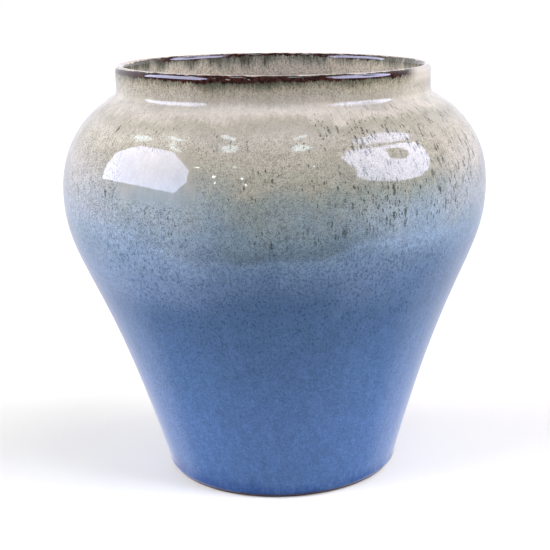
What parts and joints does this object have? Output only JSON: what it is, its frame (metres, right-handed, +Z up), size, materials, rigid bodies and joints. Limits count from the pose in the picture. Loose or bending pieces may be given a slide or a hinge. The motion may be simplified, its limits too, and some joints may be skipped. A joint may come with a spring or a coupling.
{
  "type": "flower vase",
  "caption": "Wide-bellied turned stoneware vase with a short straight neck and open mouth, tapering to a bare foot ring, in layered cream, blue and brown gloss glazes.",
  "frame": {"origin": "centre of the foot ring's underside, on the surface that the vase stands on", "axes": "+Z up along the axis of turning; the pot is alike all round, so X and Y are free, with -Y towards the front view"},
  "size_m": [0.2766, 0.2766, 0.27],
  "materials": {
    "fired_clay": "matt fired stoneware, covered by the glazes",
    "bare_foot_clay": "bare, slightly sandy red-brown stoneware",
    "blue_glaze": "high gloss, finely mottled",
    "cream_glaze": "high gloss, speckled green and brown",
    "iron_brown_glaze": "high gloss, breaking at its edge",
    "liner_glaze": "gloss, finely streaked"
  },
  "bodies": {
    "root": {"clay_body": "fired_clay", "foot_ring": "bare_foot_clay", "blue_lower_glaze": "blue_glaze", "cream_upper_glaze": "cream_glaze", "brown_rim_glaze": "iron_brown_glaze", "liner_glaze": "liner_glaze"}
  },
  "joints": []
}
